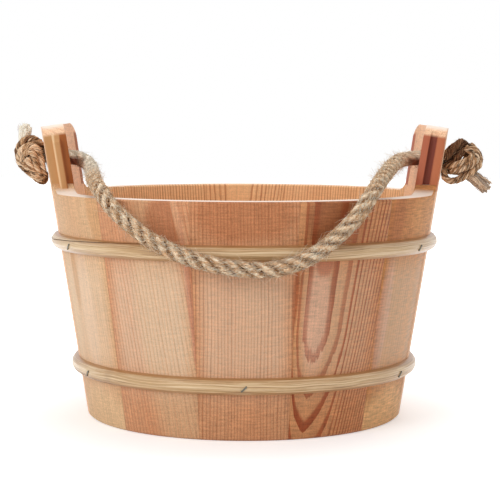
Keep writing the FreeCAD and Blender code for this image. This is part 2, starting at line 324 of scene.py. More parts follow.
def makeJute(name, pale, middle, dark, grooveShade, grooveFrom, grooveTo):
    material, tree = newMaterial(name)
    fibre, crown, tint, paleShare = [addNode(tree, "Attribute", {"attribute_name": key})
                                  for key in ("fibre", "crown", "tint", "pale")]
    place = addNode(tree, "TexCoord").outputs["Object"]
    width, length = jute["fibreWidth"], jute["fibreLength"]
    stretched = addNode(tree, "Mapping", {"Scale": (1 / width, 1 / width, 1 / length)},
                        fibre.outputs["Vector"])
    streaks = addNode(tree, "TexNoise", {"Scale": 1.0, "Detail": 3.0, "Roughness": 0.6}, stretched)
    patches = addNode(tree, "TexNoise", {"Scale": jute["patchScale"], "Detail": 2.0}, place)
    mixed = addNode(tree, "Math", {"operation": "MULTIPLY_ADD"}, tint.outputs["Fac"], jute["yarnTone"],
                    streaks)
    shade = addNode(tree, "Math", {"operation": "MULTIPLY_ADD"}, patches, jute["patchTone"], mixed)
    share = addNode(tree, "MapRange", {"From Min": 0.6, "From Max": 1.25}, shade)
    stops = [(0.12, linear(dark)), (0.5, linear(middle)), (0.85, linear(pale))]
    yarn = addNode(tree, "ValToRGB", {"stops": stops}, share)
    parts = addNode(tree, "SeparateXYZ", {}, place)
    side = addNode(tree, "Math", {"operation": "ABSOLUTE"}, parts)
    colour = layCoats(tree, yarn, (
        # painted shade: points that lie deep in the grooves between strands and yarns are darkened
        (linear(grooveShade), 1.0, (crown.outputs["Fac"], grooveTo, grooveFrom, "SMOOTHSTEP")),
        (linear(jute["bleachedAndLit"]), paleShare.outputs["Fac"]),
        # painted shade and stain: red-brown on the rope's underside beside the ears
        (linear(jute["stainAndShade"]), jute["stainAndShadeShare"], (side, *jute["stainAndShadeStart"]), (side, *jute["stainAndShadeEnd"]),
         (parts.outputs["Z"], *jute["stainAndShadeTop"])),
    ))
    specks = addNode(tree, "TexNoise", {"Scale": 1000 / jute["speckle"], "Detail": 2.0}, place)
    half = jute["speckleTone"] / 2
    tone = addNode(tree, "MapRange", {"To Min": 1 - half, "To Max": 1 + half}, specks)
    speckled = addNode(tree, "VectorMath", {"operation": "SCALE", "Scale": tone}, colour)
    closeMaterial(tree, {"Base Color": speckled, "Roughness": jute["roughness"], "Sheen Weight": jute["sheen"],
                         "Sheen Roughness": jute["sheenRoughness"], "Specular IOR Level": jute["specular"]},
                  streaks, jute["bump"])
    return material


# a pale, a middle and a dark tone, the painted shade in the grooves, and how far out that shade is full and
# gone
juteBeige = makeJute("jute_beige", "#fff7e4", "#ffe2be", "#d8a574", "#784622", 0.44, 0.8)
juteBrown = makeJute("jute_brown", "#ffdfbc", "#d0a276", "#805a40", "#28160c", 0.56, 1.0)
juteFuzz = makeJute("jute_loose_fibres", "#fff7e4", "#ffe4be", "#dda974", "#a06a3a", 0.04, 0.3)


girth = {"spread": 0.4, "scale": 260}  # how much a yarn swells, and how often to the metre


def layStrand(build, strand, sizes, seed, line=None, pale=None, tone=0.0):
    # yarns wound round one strand; `line` is the rope's own, if the strand is laid in a rope
    def crown(vertex, place):
        out = (vertex - strand[place]).length / (sizes["strandRadius"] * mm)
        laid = 1.0
        if line:
            laid = (vertex - line[place]).length / ((sizes["strandRing"] + sizes["strandRadius"]) * mm)
        return laid - sizes["yarnShade"] * max(0.0, 1 - out)

    yarns = windRound(strand, sizes["yarns"], sizes["yarnRing"], sizes["yarnLay"], seed)
    for each, yarn in enumerate(yarns):
        strayed = wander(yarn, sizes["wander"], sizes["wanderLength"], seed + each)
        swell = [noise.noise(point * girth["scale"] + Vector((each, seed, 3))) for point in strayed]
        radii = [sizes["yarnRadius"] * (1 + girth["spread"] * share) for share in swell]
        shade = 0.5 + (chance.random() - 0.5) * sizes["toneSpread"] + tone
        addTube(build, strayed, radii, shade, crown, sizes["sides"], pale)


# both are seeded, so that every run lays the same rope
chance = random.Random(11)
noise.seed_set(11)
ropeLine = smoothLine("rope_route", ropeRoute, rope["step"])
ropeLength = sum((end - start).length for start, end in zip(ropeLine, ropeLine[1:]))
ropeBuild = startMesh()
# near the ears the rope is painted pale: partly bleached, partly painted light that makes up for the ear's
# shadow on it
ropePale = []
for place in range(len(ropeLine)):
    run = ropeLength / mm * place / (len(ropeLine) - 1)
    ends = ((run, rope["paleLeft"]), (ropeLength / mm - run, rope["paleRight"]))
    shares = [(beige - walked) / (beige - bleachedAndLit) for walked, (bleachedAndLit, beige) in ends]
    ropePale.append(max(0.0, min(1.0, max(shares))))
for number, strand in enumerate(windRound(ropeLine, rope["strands"], rope["strandRing"], rope["lay"])):
    layStrand(ropeBuild, strand, rope, 1 + number * 20, ropeLine, ropePale)
bailRope = finishMesh(ropeBuild, "bail_rope_laid", juteBeige)
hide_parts("bail_rope")
print("rope laid:", round(ropeLength * 1000), "mm,", len(ropeBuild["faces"]), "faces")

# Loose fibres lie across the rope, are felted to it and stand off it. Lengths are in mm.
fuzz = {
    "lying": {"count": 9400, "least": 2.5, "most": 7.5, "thick": 0.2, "start": -0.25, "lift": 0.1,
              "hug": 0.36, "pieces": 3, "toneSpread": 2.0},
    "felted": {"count": 13500, "least": 1.0, "most": 3.6, "thick": 0.085, "start": 0.1, "lift": 0.1,
               "hug": 0.34, "pieces": 2, "toneSpread": 2.4},
    "standing": {"count": 3600, "least": 1.3, "most": 8.0, "thick": 0.11, "start": -0.5, "lift": 1.0,
                 "hug": 0.0, "pieces": 4, "toneSpread": 1.0},
}
hairShape = {"sideways": 0.9, "curl": 0.22, "taper": 0.6, "crestSpread": 0.3}


def addHairs(build, line, surface, hairs, pale=None, laid=0):
    # hug bends a hair back round the rope, lift stands it off; hairs over grooves between strands get painted
    # shade
    frames = framesAlong(line)
    for each in range(hairs["count"]):
        place = chance.randrange(1, len(frames) - 1)
        point, ahead, side, up, run = frames[place]
        turn = chance.uniform(0, 2 * math.pi)
        out = side * math.cos(turn) + up * math.sin(turn)
        around = ahead.cross(out)
        way = ahead * chance.choice((-1, 1)) + out * chance.uniform(0.0, hairs["lift"])
        way += around * chance.uniform(-hairShape["sideways"], hairShape["sideways"])
        way.normalize()
        length = (hairs["least"] + (hairs["most"] - hairs["least"]) * chance.random() ** 2) * mm
        curl = Vector([chance.uniform(-1, 1) for axis in range(3)]) * length * hairShape["curl"]
        curl -= out * length * hairs["hug"]
        root = point + out * (surface + hairs["start"]) * mm
        steps = hairs["pieces"]
        shares = [piece / steps for piece in range(steps + 1)]
        hair = [root + way * length * share + curl * share ** 2 for share in shares]
        radii = [hairs["thick"] * (1 - hairShape["taper"] * share) for share in shares]
        bleachedAndLit = [pale[place]] * len(hair) if pale else None
        shade = 0.5 + (chance.random() - 0.5) * hairs["toneSpread"]
        # painted shade: a hair that lies over a groove between strands is darkened like the groove
        crest = 0.5 + 0.5 * math.cos(laid * (turn - 2 * math.pi * run / (rope["lay"] * mm)))
        crest += chance.uniform(0, hairShape["crestSpread"])
        addTube(build, hair, radii, shade, lambda vertex, place: crest, 3, bleachedAndLit)


for lie, hairs in fuzz.items():
    fuzzBuild = startMesh()
    addHairs(fuzzBuild, ropeLine, rope["diameter"] / 2, hairs, ropePale, rope["strands"])
    finishMesh(fuzzBuild, "rope_fuzz_" + lie, juteFuzz)

# Both ends are knotted against the ear. The knots have opened into single strands, and the ends are frayed.
knot = {
    "strandRadius": 2.45,
    "yarns": 7,
    "yarnRadius": 0.86,
    "yarnLay": -13.0,
    "yarnShade": 1.7,
    "toneSpread": 1.0,
    "wander": 0.5,
    "wanderLength": 4.0,
    "step": 1.2,
    "sides": 6,
    "hairs": {"count": 420, "least": 1.5, "most": 4.5, "thick": 0.1, "start": -0.3, "lift": 0.5, "hug": 0.2,
              "pieces": 3, "toneSpread": 1.4},
}
knot["yarnRing"] = knot["strandRadius"] - knot["yarnRadius"]
# each strand: how much paler or darker it is, then its points in mm
leftStrands = [
    (0.0, [(-139.6, 0, 177.5), (-145, 1, 177.2), (-150.5, 1.5, 179), (-153.5, -1, 183), (-150, -3.5, 186),
           (-145, -2, 183)]),
    (-0.1, [(-140.6, 3.5, 179.5), (-146.5, 5.5, 181.5), (-152, 5.5, 179), (-154, 3, 174.5), (-149, 2, 170.5),
            (-144, 1, 168.5)]),
    (0.0, [(-141, -3.5, 174.5), (-146, -4.5, 173.5), (-150.5, -5, 176), (-152, -5.5, 180.5)]),
    (-0.3, [(-158.3, -1.5, 179), (-155.5, -2.5, 186.4), (-150.5, -3, 189.6), (-145.2, -2, 187.6),
            (-142, -1, 182)]),
    (-0.2, [(-141, 2, 182.5), (-142.6, -1, 187), (-145, -4, 190.6), (-149.3, -5.5, 192.8), (-154, -6, 191.4),
            (-157.7, -6, 187.3), (-159.3, -5, 182), (-158, -3, 177), (-154, 0, 173.6), (-149.5, 3, 171)]),
    (0.15, [(-158.3, -6.3, 178), (-157, -8, 182.6), (-153.6, -9.2, 186.1), (-149, -9.8, 187.7),
            (-145.2, -9.2, 186), (-143, -8.2, 181.8), (-142.1, -7.5, 176.3), (-140.9, -7, 170),
            (-139.9, -6, 165.2)]),
    (0.3, [(-155.3, -8, 175.6), (-154.2, -9.6, 180.2), (-151.4, -11, 183.3), (-148.4, -11.3, 183.4),
           (-146.7, -10.8, 179.8), (-145.6, -10, 174.3), (-143.7, -9, 168.6), (-141.3, -7.5, 164)]),
    (0.05, [(-151.7, -11, 179.3), (-150.2, -11, 175.4), (-148.6, -10.5, 170.8), (-145.8, -9.3, 166.1),
            (-142.4, -7.5, 162.6)]),
    (0.1, [(-158.3, -5, 179), (-157.4, -7, 174.6), (-153.6, -8.6, 171.2), (-149.6, -8.8, 168),
           (-145.3, -8, 164.2), (-141.6, -5.5, 161.7), (-140.3, -1, 163.5), (-141.3, 3, 168)]),
    (0.2, [(-154.6, -9.5, 176), (-153.2, -10, 173.8), (-149.8, -9.8, 170.4)]),
    (0.0, [(-141.2, 5, 186), (-147, 8.5, 188), (-153.3, 9, 184.5), (-155.4, 9, 177.5), (-150.5, 9, 170.5),
           (-143.7, 7, 165)]),
    (0.1, [(-141.6, 8, 180), (-146.5, 10.5, 181.5), (-149.8, 10.8, 176), (-146, 10, 169.5),
           (-141.2, 7, 166)]),
    (0.0, [(-156.5, 3.5, 190), (-158.8, 4, 184), (-157.8, 5, 177), (-153.3, 5.5, 171.5), (-147, 5, 167),
           (-141.5, 3, 164)]),
]
rightStrands = [
    # the first three strands lie in the ear's shadow and are toned much darker: painted shade
    (-0.8, [(139.8, 0.5, 176.5), (144.5, -2.5, 179.5), (148, -4, 184.2), (150.6, -4, 188.6),
            (154, -1.5, 190.2), (157.5, 1.5, 187.5)]),
    (-0.9, [(140.2, -4.5, 179), (143.6, -6, 182.4), (146.6, -6, 186.6), (149.6, -5, 190.6),
            (153.2, -3, 191.3), (156.3, -0.5, 188.5)]),
    (-0.8, [(140.4, -3.5, 173.8), (145.2, -6.3, 175.8), (149.3, -7.3, 179.6), (152.4, -6.8, 184),
            (156, -4.5, 186)]),
    (-0.3, [(140.4, 4, 181), (144.5, 5, 185), (149, 4, 189.4), (154.5, 4, 187.4), (158.5, 4, 182),
            (155, 6, 175.6), (149, 7, 171.6), (143, 6, 170)]),
    (0.1, [(154.6, -6.5, 186.6), (158.3, -8.5, 185), (159.3, -10, 181.5), (156.3, -10.6, 178.4),
           (151.5, -10.3, 176.3), (146.4, -8.8, 174.8), (142.3, -6, 174)]),
    (0.15, [(156.8, -4, 188.4), (161.2, -6.5, 186), (162.8, -9, 181.6), (160.6, -10.6, 177),
            (155.4, -11, 173.4), (149.3, -9.8, 171.4), (144.3, -7.5, 170.8)]),
    (0.05, [(158.4, -1.5, 188.6), (163, -3.5, 184.8), (165, -6, 179.6), (163.6, -8, 174.4), (159.3, -9, 170),
            (153.9, -7.8, 166.6), (149, -5.5, 164), (144, -4.5, 163.3), (140.6, -4, 165.8),
            (139.8, -3.5, 170.5), (141.2, -2.5, 175)]),
    (-0.1, [(159.5, 2, 187), (163.4, 2.5, 181.5), (162.6, 2, 175), (157.5, 1, 170.6), (151, 1.5, 169.2),
            (145, 2, 170.4)]),
    (0.0, [(153, 8, 186), (158.5, 8.5, 182), (158, 9, 175.5), (152, 9.8, 171.6), (145.5, 8.5, 171),
           (141.5, 6, 174)]),
]
# frayed ends: dome is how far the middle yarns outreach the outer ones, splay how far they spread
leftTail = {
    "points": [(-154.8, 1, 186), (-155.4, 1, 191), (-155, 1.3, 196.5), (-154.2, 1.6, 202.4)],
    "radii": (4.0, 5.2), "yarns": 70, "thick": 1.05, "pale": 1.0, "tone": 0.5, "dome": 7.5, "splay": 0.3}
rightTail = {
    "points": [(152.5, -1, 172), (158.2, -2.5, 168), (164, -3.5, 163.6), (171.6, -3.6, 157.6)],
    "radii": (4.0, 5.4), "yarns": 70, "thick": 0.55, "pale": 0.3, "tone": -0.3, "dome": 5.0, "splay": 0.9}
tailShape = {"step": 1.6, "twist": 0.05, "wanderLength": 5.0, "sides": 5, "hairs": 150, "hairLift": 0.8}


def addTail(build, tail):
    # unlaid yarns side by side, of uneven length
    line = smoothLine("tail_route", tail["points"], tailShape["step"])
    frames = framesAlong(line)
    last = len(line) - 1
    first, end = tail["radii"]
    for each in range(tail["yarns"]):
        start = chance.uniform(0, 2 * math.pi)
        share = math.sqrt(chance.random())
        stop = last - round(tail["dome"] * share * share * chance.uniform(0.3, 1.0) / tailShape["step"])
        yarn = []
        for place, (point, ahead, side, up, run) in enumerate(frames[:max(stop, 3) + 1]):
            spread = first + (end - first) * place / last
            turn = start + place * tailShape["twist"]
            out = side * math.cos(turn) + up * math.sin(turn)
            yarn.append(point + out * share * (spread - tail["thick"]) * mm)
        yarn = wander(yarn, tail["splay"], tailShape["wanderLength"], each + 500)
        shade = chance.random() + tail["tone"]
        pale = [tail["pale"]] * len(yarn)
        addTube(build, yarn, [tail["thick"]] * len(yarn), shade, sides=tailShape["sides"], pale=pale)
    splay = tail["splay"]
    hairs = dict(knot["hairs"], count=round(tailShape["hairs"] * splay), lift=tailShape["hairLift"] * splay)
    addHairs(build, line[last // 2:], end, hairs)


def tieKnot(name, strands, tail, node, seed):
    build = startMesh()
    hairs = dict(knot["hairs"], count=knot["hairs"]["count"] // len(strands))
    for number, (tone, points) in enumerate(strands):
        strand = smoothLine(name + "_route", points, knot["step"])
        layStrand(build, strand, knot, seed + number * 9, tone=tone)
        addHairs(build, strand, knot["strandRadius"], hairs)
    addTail(build, tail)
    piece = finishMesh(build, name, juteBrown)
    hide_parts(node)
    return piece


leftKnot = tieKnot("left_knot_passes", leftStrands, leftTail, "left_knot", 40)
rightKnot = tieKnot("right_knot_passes", rightStrands, rightTail, "right_knot", 170)
print("knots tied:", len(leftKnot.data.polygons) + len(rightKnot.data.polygons), "faces")

tuple(ropeLine[0])
[tuple(point) for point in ropeLine]

# Planed pine: an open, warm wood whose yearly rings show as lines, stripes or arches, as each board was sawn.
# Sizes are in mm in a stave's own frame: x across it, y inward from its outer face, z up it. A pair is where a
# coat of colour is absent and where it is full.
pine = {
    # noises in the wood: width, length, shift, detail, roughness
    "drift": (28, 130, 0.0, 2.0, 0.5),
    "feather": (1.6, 26, 5.0, 3.0, 0.5),
    "hue": (34, 110, 7.0, 3.0, 0.5),
    "fibres": (0.9, 34.0, 0.0, 4.0, 0.65),  # drawn coarser than real fibres so that they show
    "pores": (0.6, 1.0, 11.0, 2.0, 0.5),
    "fibreTone": 0.75,
    "poreTone": 0.75,
    "rippleTone": 0.7,
    "planerMark": 1.2,  # from one faint ripple of the planer to the next
    "planerWidth": 9.0,
    "planerTilt": 0.1,
    "warm": "#cf8150",  # slow changes of hue
    "warmShare": 0.3,
    "warmFrom": (0.4, 0.75),
    "patchDepth": 60,
    "patchFray": 0.35,
    "patchEdge": 0.45,
    "patchLate": 0.45,  # how much of the late wood shows through a patch
    "paintedSheen": "#fff1d6",  # a painted reflection: a pale sheen between the hoops, which spares the late wood
    "paintedSheenFoot": (14, 58),
    "paintedSheenTop": (136, 98),
    "paintedSheenDepth": (4.0, 2.0),
    "inner": "#f9c68f",  # the inside below the rim is painted paler and yellower
    "innerShare": 0.3,
    "innerDepth": (9.0, 12.0),
    "innerTop": 4.0,
    "joint": "#8a5433",  # the joints are a shade darker
    "jointShare": 0.25,
    "jointWidth": 0.6,
    "end": "#fff0e2",  # painted highlight: faces that look up, the sawn ends among them, are painted pale
    "topHighlightShare": 0.9,
    "topHighlightFacing": (0.75, 0.95),
    # above the rim the ears' open joints are stained and carry painted light: a painted highlight on the left
    # ear's tongue edge, painted shadow on its inner shoulder and painted shade in the right ear's groove; the
    # steps are the depths between which these tones change: outer shoulder, edge and face of the joint, inner
    # shoulder
    "stainAndShadeSteps": (9.2, 9.6, 10.6, 11.4, 14.0, 14.8),
    "stainAndShadeReach": 20.0,
    "stainAndShadeEdge": (6.5, 5.7),
    "stainAndShadeTop": (197.0, 195.0),
    "stainAndShadeFoot": (2.5, 3.5),
    "earlyRoughness": 0.56,
    "lateRoughness": 0.42,
    "specular": 0.25,
    "bump": 0.10,
}

# pith: the tree's middle; slant: the lines' lean in the face; taper: how fast the arches open upwards;
# power above 1 crowds the outer rings; fray: feathered edges; strength: how dark the late wood may be;
# patches: x, z, half width, half height, lean, colour, share
backTones = {"early": "#f6c48f", "late": "#a85c2c"}
earTones = {"early": "#ffd3ac", "late": "#e0a17c", "spacing": 3.4, "taper": 0.04, "strength": 0.4}
staveGrain = {
    "front_stave_1": {
        "pith": (-120, 60), "spacing": 2.2, "slant": 0.02, "strength": 0.30, "paintedSheen": 0.22, "ripple": 0.5,
        "early": "#dfb58a", "late": "#c89666",
        "patches": ((-9, 102, 6, 28, 0.0, "#c58648", 0.8), (5, 78, 11, 62, 0.0, "#ecc4a4", 0.55),
                    (0, 4, 44, 30, 0.0, "#ecca9e", 0.6), (30, 150, 10, 30, 0.0, "#cf9560", 0.5))},
    "front_stave_2": {
        "pith": (-150, 30), "spacing": 2.7, "slant": 0.10, "strength": 0.52, "paintedSheen": 0.24, "ripple": 0.6,
        "drift": 0.5, "early": "#d79f76", "late": "#bb6d45",
        "patches": ((12, 70, 25, 120, 0.09, "#d8ae85", 0.8), (32, 80, 4, 60, 0.02, "#c27c58", 0.7),
                    (17, 142, 17, 26, 0.0, "#b9764f", 0.8), (28, 140, 3.5, 40, 0.2, "#dca67e", 0.8),
                    (30, 92, 2.2, 70, 0.03, "#cf8f70", 0.6))},
    "front_stave_3": {
        "pith": (260, 40), "spacing": 2.15, "strength": 0.54, "paintedSheen": 0.22, "ripple": 0.9, "drift": 1.3,
        "early": "#d39b71", "late": "#9f5630",
        "patches": ((0, 150, 44, 24, 0.0, "#b36a3e", 0.6), (33, 88, 3.4, 34, 0.0, "#b0643c", 0.8))},
    "front_stave_4": {
        "pith": (-19.5, 0), "slant": -0.03, "strength": 0.88, "paintedSheen": 0.14, "ripple": 1.2, "fray": 0.16,
        "lateFrom": 0.7, "early": "#cd9162", "late": "#933f1a",
        # tip: the lowest arch's height; rise: from one tip to the next; across: x and the rings inside it
        "arch": {"tip": 48.8, "rise": 22.7, "fan": 0.00236, "blend": 1.35, "torn": 0.36,
                 "across": ((-30, 8), (-20, 4), (-17.5, 3), (-11.9, 2), (-8, 1), (-4, 0.5), (0, 0),
                            (5, 0.5), (10.2, 1), (18.5, 2), (23, 3), (28.6, 5), (36, 8), (60, 18))},
        "patches": ((-9, 146, 27, 28, 0.0, "#94532f", 0.75), (-17, 84, 11, 48, 0.0, "#dba487", 0.7),
                    (-14.5, 117, 8, 11, 0.0, "#b5643c", 0.95), (-33.5, 95, 4, 30, 0.0, "#a9572f", 0.8))},
    "front_stave_5": {
        "pith": (160, 60), "spacing": 2.8, "slant": -0.02, "strength": 0.30, "paintedSheen": 0.24, "ripple": 1.4,
        "early": "#c5864f", "late": "#a86832",
        "patches": ((-26, 142, 11, 26, 0.0, "#a8623c", 0.55), (-25, 78, 8, 50, 0.0, "#c68a7c", 0.45),
                    (9, 74, 7, 60, 0.0, "#cf8640", 0.65), (27, 60, 7, 60, 0.0, "#c98040", 0.5),
                    (0, 2, 44, 34, 0.0, "#eab983", 0.85), (12, 146, 28, 23, 0.0, "#d2945a", 0.7))},
    "back_stave_1": {**backTones, "pith": (140, 20), "spacing": 2.6, "slant": 0.01, "strength": 0.85},
    "back_stave_2": {**backTones, "pith": (-200, 30), "spacing": 2.2, "strength": 0.95},
    "back_stave_3": {**backTones, "pith": (10, 14), "spacing": 6.0, "slant": 0.03, "taper": 0.10, "power": 1.4,
                     "shift": 4.0, "strength": 1.0, "fray": 0.7},
    "back_stave_4": {**backTones, "pith": (180, 30), "spacing": 2.4, "slant": 0.01, "strength": 0.9},
    "back_stave_5": {**backTones, "pith": (-90, 50), "slant": -0.03, "taper": 0.02, "strength": 0.85},
    "ear_stave_left": {**earTones, "pith": (-50, 35), "slant": 0.03,
                       "stainAndShade": ("#c6925f", "#f4cb9c", "#ce9865", "#a65e2d")},
    "ear_stave_right": {**earTones, "pith": (45, 30), "slant": -0.03,
                        "stainAndShade": ("#c0704a", "#84402f", "#84402f", "#ba684a")},
    "bottom_board_front": {"pith": (40, 60), "spacing": 3.2, "taper": 0.02},
    "bottom_board_middle": {"pith": (-20, 45), "spacing": 3.6, "taper": 0.04},
    "bottom_board_back": {"pith": (90, 60), "spacing": 2.8},
}
grainDefaults = {
    "spacing": 3.0, "slant": 0.0, "taper": 0.0, "power": 1.0, "shift": 0.0, "fray": 0.15, "drift": 1.0,
    "strength": 0.5, "paintedSheen": 0.16, "ripple": 0.6, "lateFrom": 0.72, "early": "#d8a075", "late": "#ad6d45",
    "patches": ()}
staveAngle = {"ear_stave_right": 0, "ear_stave_left": 180}
for number in range(5):
    staveAngle["front_stave_" + str(number + 1)] = 210 + 30 * number
    staveAngle["back_stave_" + str(number + 1)] = 150 - 30 * number


def makePine(name, own):
    grain = dict(grainDefaults, **own)
    material, tree = newMaterial("pine_" + name)
    # a stave is turned to the front and stood upright with its outer face at y = 0;
    # the bottom's boards, which lie along X, are stood on end
    standing = name in staveAngle
    foot, lean = bucket["baseRadius"], bucket["lean"]
    turn = math.radians(270 - staveAngle[name]) if standing else 0
    pose = {"Location": (0, foot * math.cos(lean), -foot * math.sin(lean)), "Rotation": (-lean, 0, 0)}
    turned = addNode(tree, "Mapping", {"Scale": (1000, 1000, 1000), "Rotation": (0, 0, turn)},
                     addNode(tree, "TexCoord").outputs["Object"])
    board = addNode(tree, "Mapping", pose if standing else {"Rotation": (0, math.pi / 2, 0)}, turned)
    pithX, pithY = grain["pith"]
    slanted = addNode(tree, "Mapping", {"Rotation": (0, grain["slant"], 0),
                                        "Location": (-pithX, -pithY, 0)}, board)
    x, y, z = addNode(tree, "SeparateXYZ", {}, slanted).outputs
    noises = {}
    for key in ("drift", "feather", "hue", "fibres", "pores"):
        width, length, shift, detail, roughness = pine[key]
        stretched = addNode(tree, "Mapping", {"Scale": (1 / width, 1 / width, 1 / length),
                                              "Location": (shift, pithX, 3)}, board)
        noises[key] = addNode(tree, "TexNoise", {"Scale": 1.0, "Detail": detail, "Roughness": roughness},
                              stretched)
    feather = noises["feather"]
    if "arch" in grain:
        # nested arches: the rings' places across the board, and a fade up it from the lowest tip
        arch = grain["arch"]
        places = arch["across"]
        first, last = places[0][0], places[-1][0]
        most = max(count for at, count in places)
        stops = [((at - first) / (last - first), grey(count / most)) for at, count in places]
        fan = addNode(tree, "Math", {"operation": "MULTIPLY_ADD"}, z, -arch["fan"],
                      1 + arch["fan"] * arch["tip"])
        spread = addNode(tree, "Math", {"operation": "MULTIPLY"}, x, fan)
        share = addNode(tree, "MapRange", {"From Min": first, "From Max": last}, spread)
        across = addNode(tree, "ValToRGB", {"stops": stops}, share)
        counted = addNode(tree, "Math", {"operation": "MULTIPLY"}, across, most)
        legs = addNode(tree, "Math", {"operation": "POWER"}, counted, arch["blend"])
        loose = addNode(tree, "Math", {"operation": "SUBTRACT"}, feather, 0.5)
        tear = addNode(tree, "Math", {"operation": "MULTIPLY"}, z, arch["torn"])
        torn = addNode(tree, "Math", {"operation": "MULTIPLY_ADD"}, loose, tear, z)
        below = addNode(tree, "MapRange", {"clamp": False, "From Min": arch["tip"] + arch["rise"],
                                           "From Max": arch["tip"]}, torn)
        tips = addNode(tree, "Math", {"operation": "MAXIMUM"}, below, 0.0)
        tips = addNode(tree, "Math", {"operation": "POWER"}, tips, arch["blend"])
        joined = addNode(tree, "Math", {"operation": "ADD"}, legs, tips)
        ring = addNode(tree, "Math", {"operation": "POWER"}, joined, 1 / arch["blend"])
        ring = addNode(tree, "Math", {"operation": "MULTIPLY_ADD"}, loose, grain["fray"], ring)
    else:
        # rings round the pith, bent by the drift and frayed
        flat = addNode(tree, "CombineXYZ", {}, x, y)
        ring = addNode(tree, "VectorMath", {"operation": "LENGTH"}, flat).outputs["Value"]
        swing = min(grain["spacing"], 3.6) * 2.2 * grain["drift"]
        for term, factor in ((z, -grain["taper"]), (noises["drift"], swing), (feather, grain["fray"] * 2.4)):
            ring = addNode(tree, "Math", {"operation": "MULTIPLY_ADD"}, term, factor, ring)
        for operation, term in (("ADD", grain["shift"]), ("DIVIDE", grain["spacing"]), ("MAXIMUM", 0.02),
                                ("POWER", grain["power"])):
            ring = addNode(tree, "Math", {"operation": operation}, ring, term)
    # each year the late wood darkens slowly, then ends sharply, and some years are stronger than others
    year = addNode(tree, "Math", {"operation": "FLOOR"}, ring)
    yearly = addNode(tree, "TexWhiteNoise", {"noise_dimensions": "1D", "W": year})
    strength, lateFrom = grain["strength"], grain["lateFrom"]
    vigour = addNode(tree, "MapRange", {"To Min": strength * 0.75, "To Max": strength * 1.15}, yearly)
    darkness = ((0.0, 0.0), (lateFrom - 0.14, 0.12), (lateFrom, 0.9), (0.97, 1.0), (1.0, 0.0))
    profile = addNode(tree, "ValToRGB", {"stops": [(share, grey(value)) for share, value in darkness]},
                      addNode(tree, "Math", {"operation": "FRACT"}, ring))
    lateness = addNode(tree, "Math", {"operation": "MULTIPLY"}, profile, vigour)
    early, late = linear(grain["early"]), linear(grain["late"])
    colour = addNode(tree, "MixRGB", {}, lateness, early, late)

    # slow changes of hue, then the board's own patches
    coats = [(linear(pine["warm"]), pine["warmShare"], (noises["hue"], *pine["warmFrom"]))]
    through = addNode(tree, "Math", {"operation": "MULTIPLY"}, lateness, pine["patchLate"])
    for middleX, middleZ, halfWidth, halfHeight, tilt, tone, share in grain["patches"]:
        spot = addNode(tree, "Mapping", {
            "vector_type": "TEXTURE", "Location": (middleX, 0, middleZ), "Rotation": (0, -tilt, 0),
            "Scale": (halfWidth, pine["patchDepth"], halfHeight)}, board)
        ragged = addNode(tree, "MixRGB", {"blend_type": "ADD"}, pine["patchFray"], spot,
                         feather.outputs["Color"])
        centred = addNode(tree, "VectorMath", {"operation": "SUBTRACT"}, ragged, (0.17, 0.17, 0.17))
        ball = addNode(tree, "TexGradient", {"gradient_type": "SPHERICAL"}, centred)
        tinted = addNode(tree, "MixRGB", {}, through, linear(tone), late)
        coats.append((tinted, share, (ball.outputs["Fac"], 0.0, pine["patchEdge"], "SMOOTHSTEP")))
    colour = layCoats(tree, colour, coats)

    # fibres along the board, open pores, and the planer's short ripples across it
    width, length = pine["planerWidth"], pine["planerMark"]
    planed = addNode(tree, "Mapping", {"Rotation": (0, pine["planerTilt"], 0),
                                       "Scale": (1 / width, 1 / width, 1 / length)}, board)
    ripples = addNode(tree, "TexNoise", {"Scale": 1.0, "Detail": 1.0}, planed)
    tone = 1.0
    for noisy, amount in ((noises["fibres"], pine["fibreTone"]), (noises["pores"], pine["poreTone"]),
                          (ripples, pine["rippleTone"] * grain["ripple"])):
        swing = addNode(tree, "Math", {"operation": "SUBTRACT"}, noisy, 0.5)
        tone = addNode(tree, "Math", {"operation": "MULTIPLY_ADD"}, swing, amount, tone)
    colour = addNode(tree, "VectorMath", {"operation": "SCALE", "Scale": tone}, colour)

    if standing:
        rim = bucket["wallHeight"]
        radius = bucket["rimRadius"]
        deep, high = addNode(tree, "SeparateXYZ", {}, board).outputs[1:]
        facing = addNode(tree, "SeparateXYZ", {}, addNode(tree, "NewGeometry").outputs["Normal"]).outputs["Z"]
        # how far round from the stave's middle, where half a stave is the joint
        swung = addNode(tree, "SeparateXYZ", {}, turned).outputs
        inward = addNode(tree, "Math", {"operation": "MULTIPLY"}, swung["Y"], -1.0)
        angle = addNode(tree, "Math", {"operation": "ARCTAN2"}, swung["X"], inward)
        offset = addNode(tree, "Math", {"operation": "ABSOLUTE"}, angle)
        half = math.pi / bucket["staveCount"]
        paintedSheen = grain["paintedSheen"]
        spared = addNode(tree, "MapRange", {"To Min": paintedSheen * 1.25, "To Max": paintedSheen * 0.2}, lateness)
        coats = [
            # painted reflection: a pale sheen on the outer face between the hoops
            (linear(pine["paintedSheen"]), spared, (high, *pine["paintedSheenFoot"], "SMOOTHSTEP"),
             (high, *pine["paintedSheenTop"], "SMOOTHSTEP"), (deep, *pine["paintedSheenDepth"])),
            (linear(pine["inner"]), pine["innerShare"], (deep, *pine["innerDepth"]),
             (high, rim + pine["innerTop"], rim)),
            (linear(pine["joint"]), pine["jointShare"], (offset, half - pine["jointWidth"] / radius, half)),
            # painted highlight on faces that look up
            (linear(pine["end"]), pine["topHighlightShare"], (facing, *pine["topHighlightFacing"])),
        ]
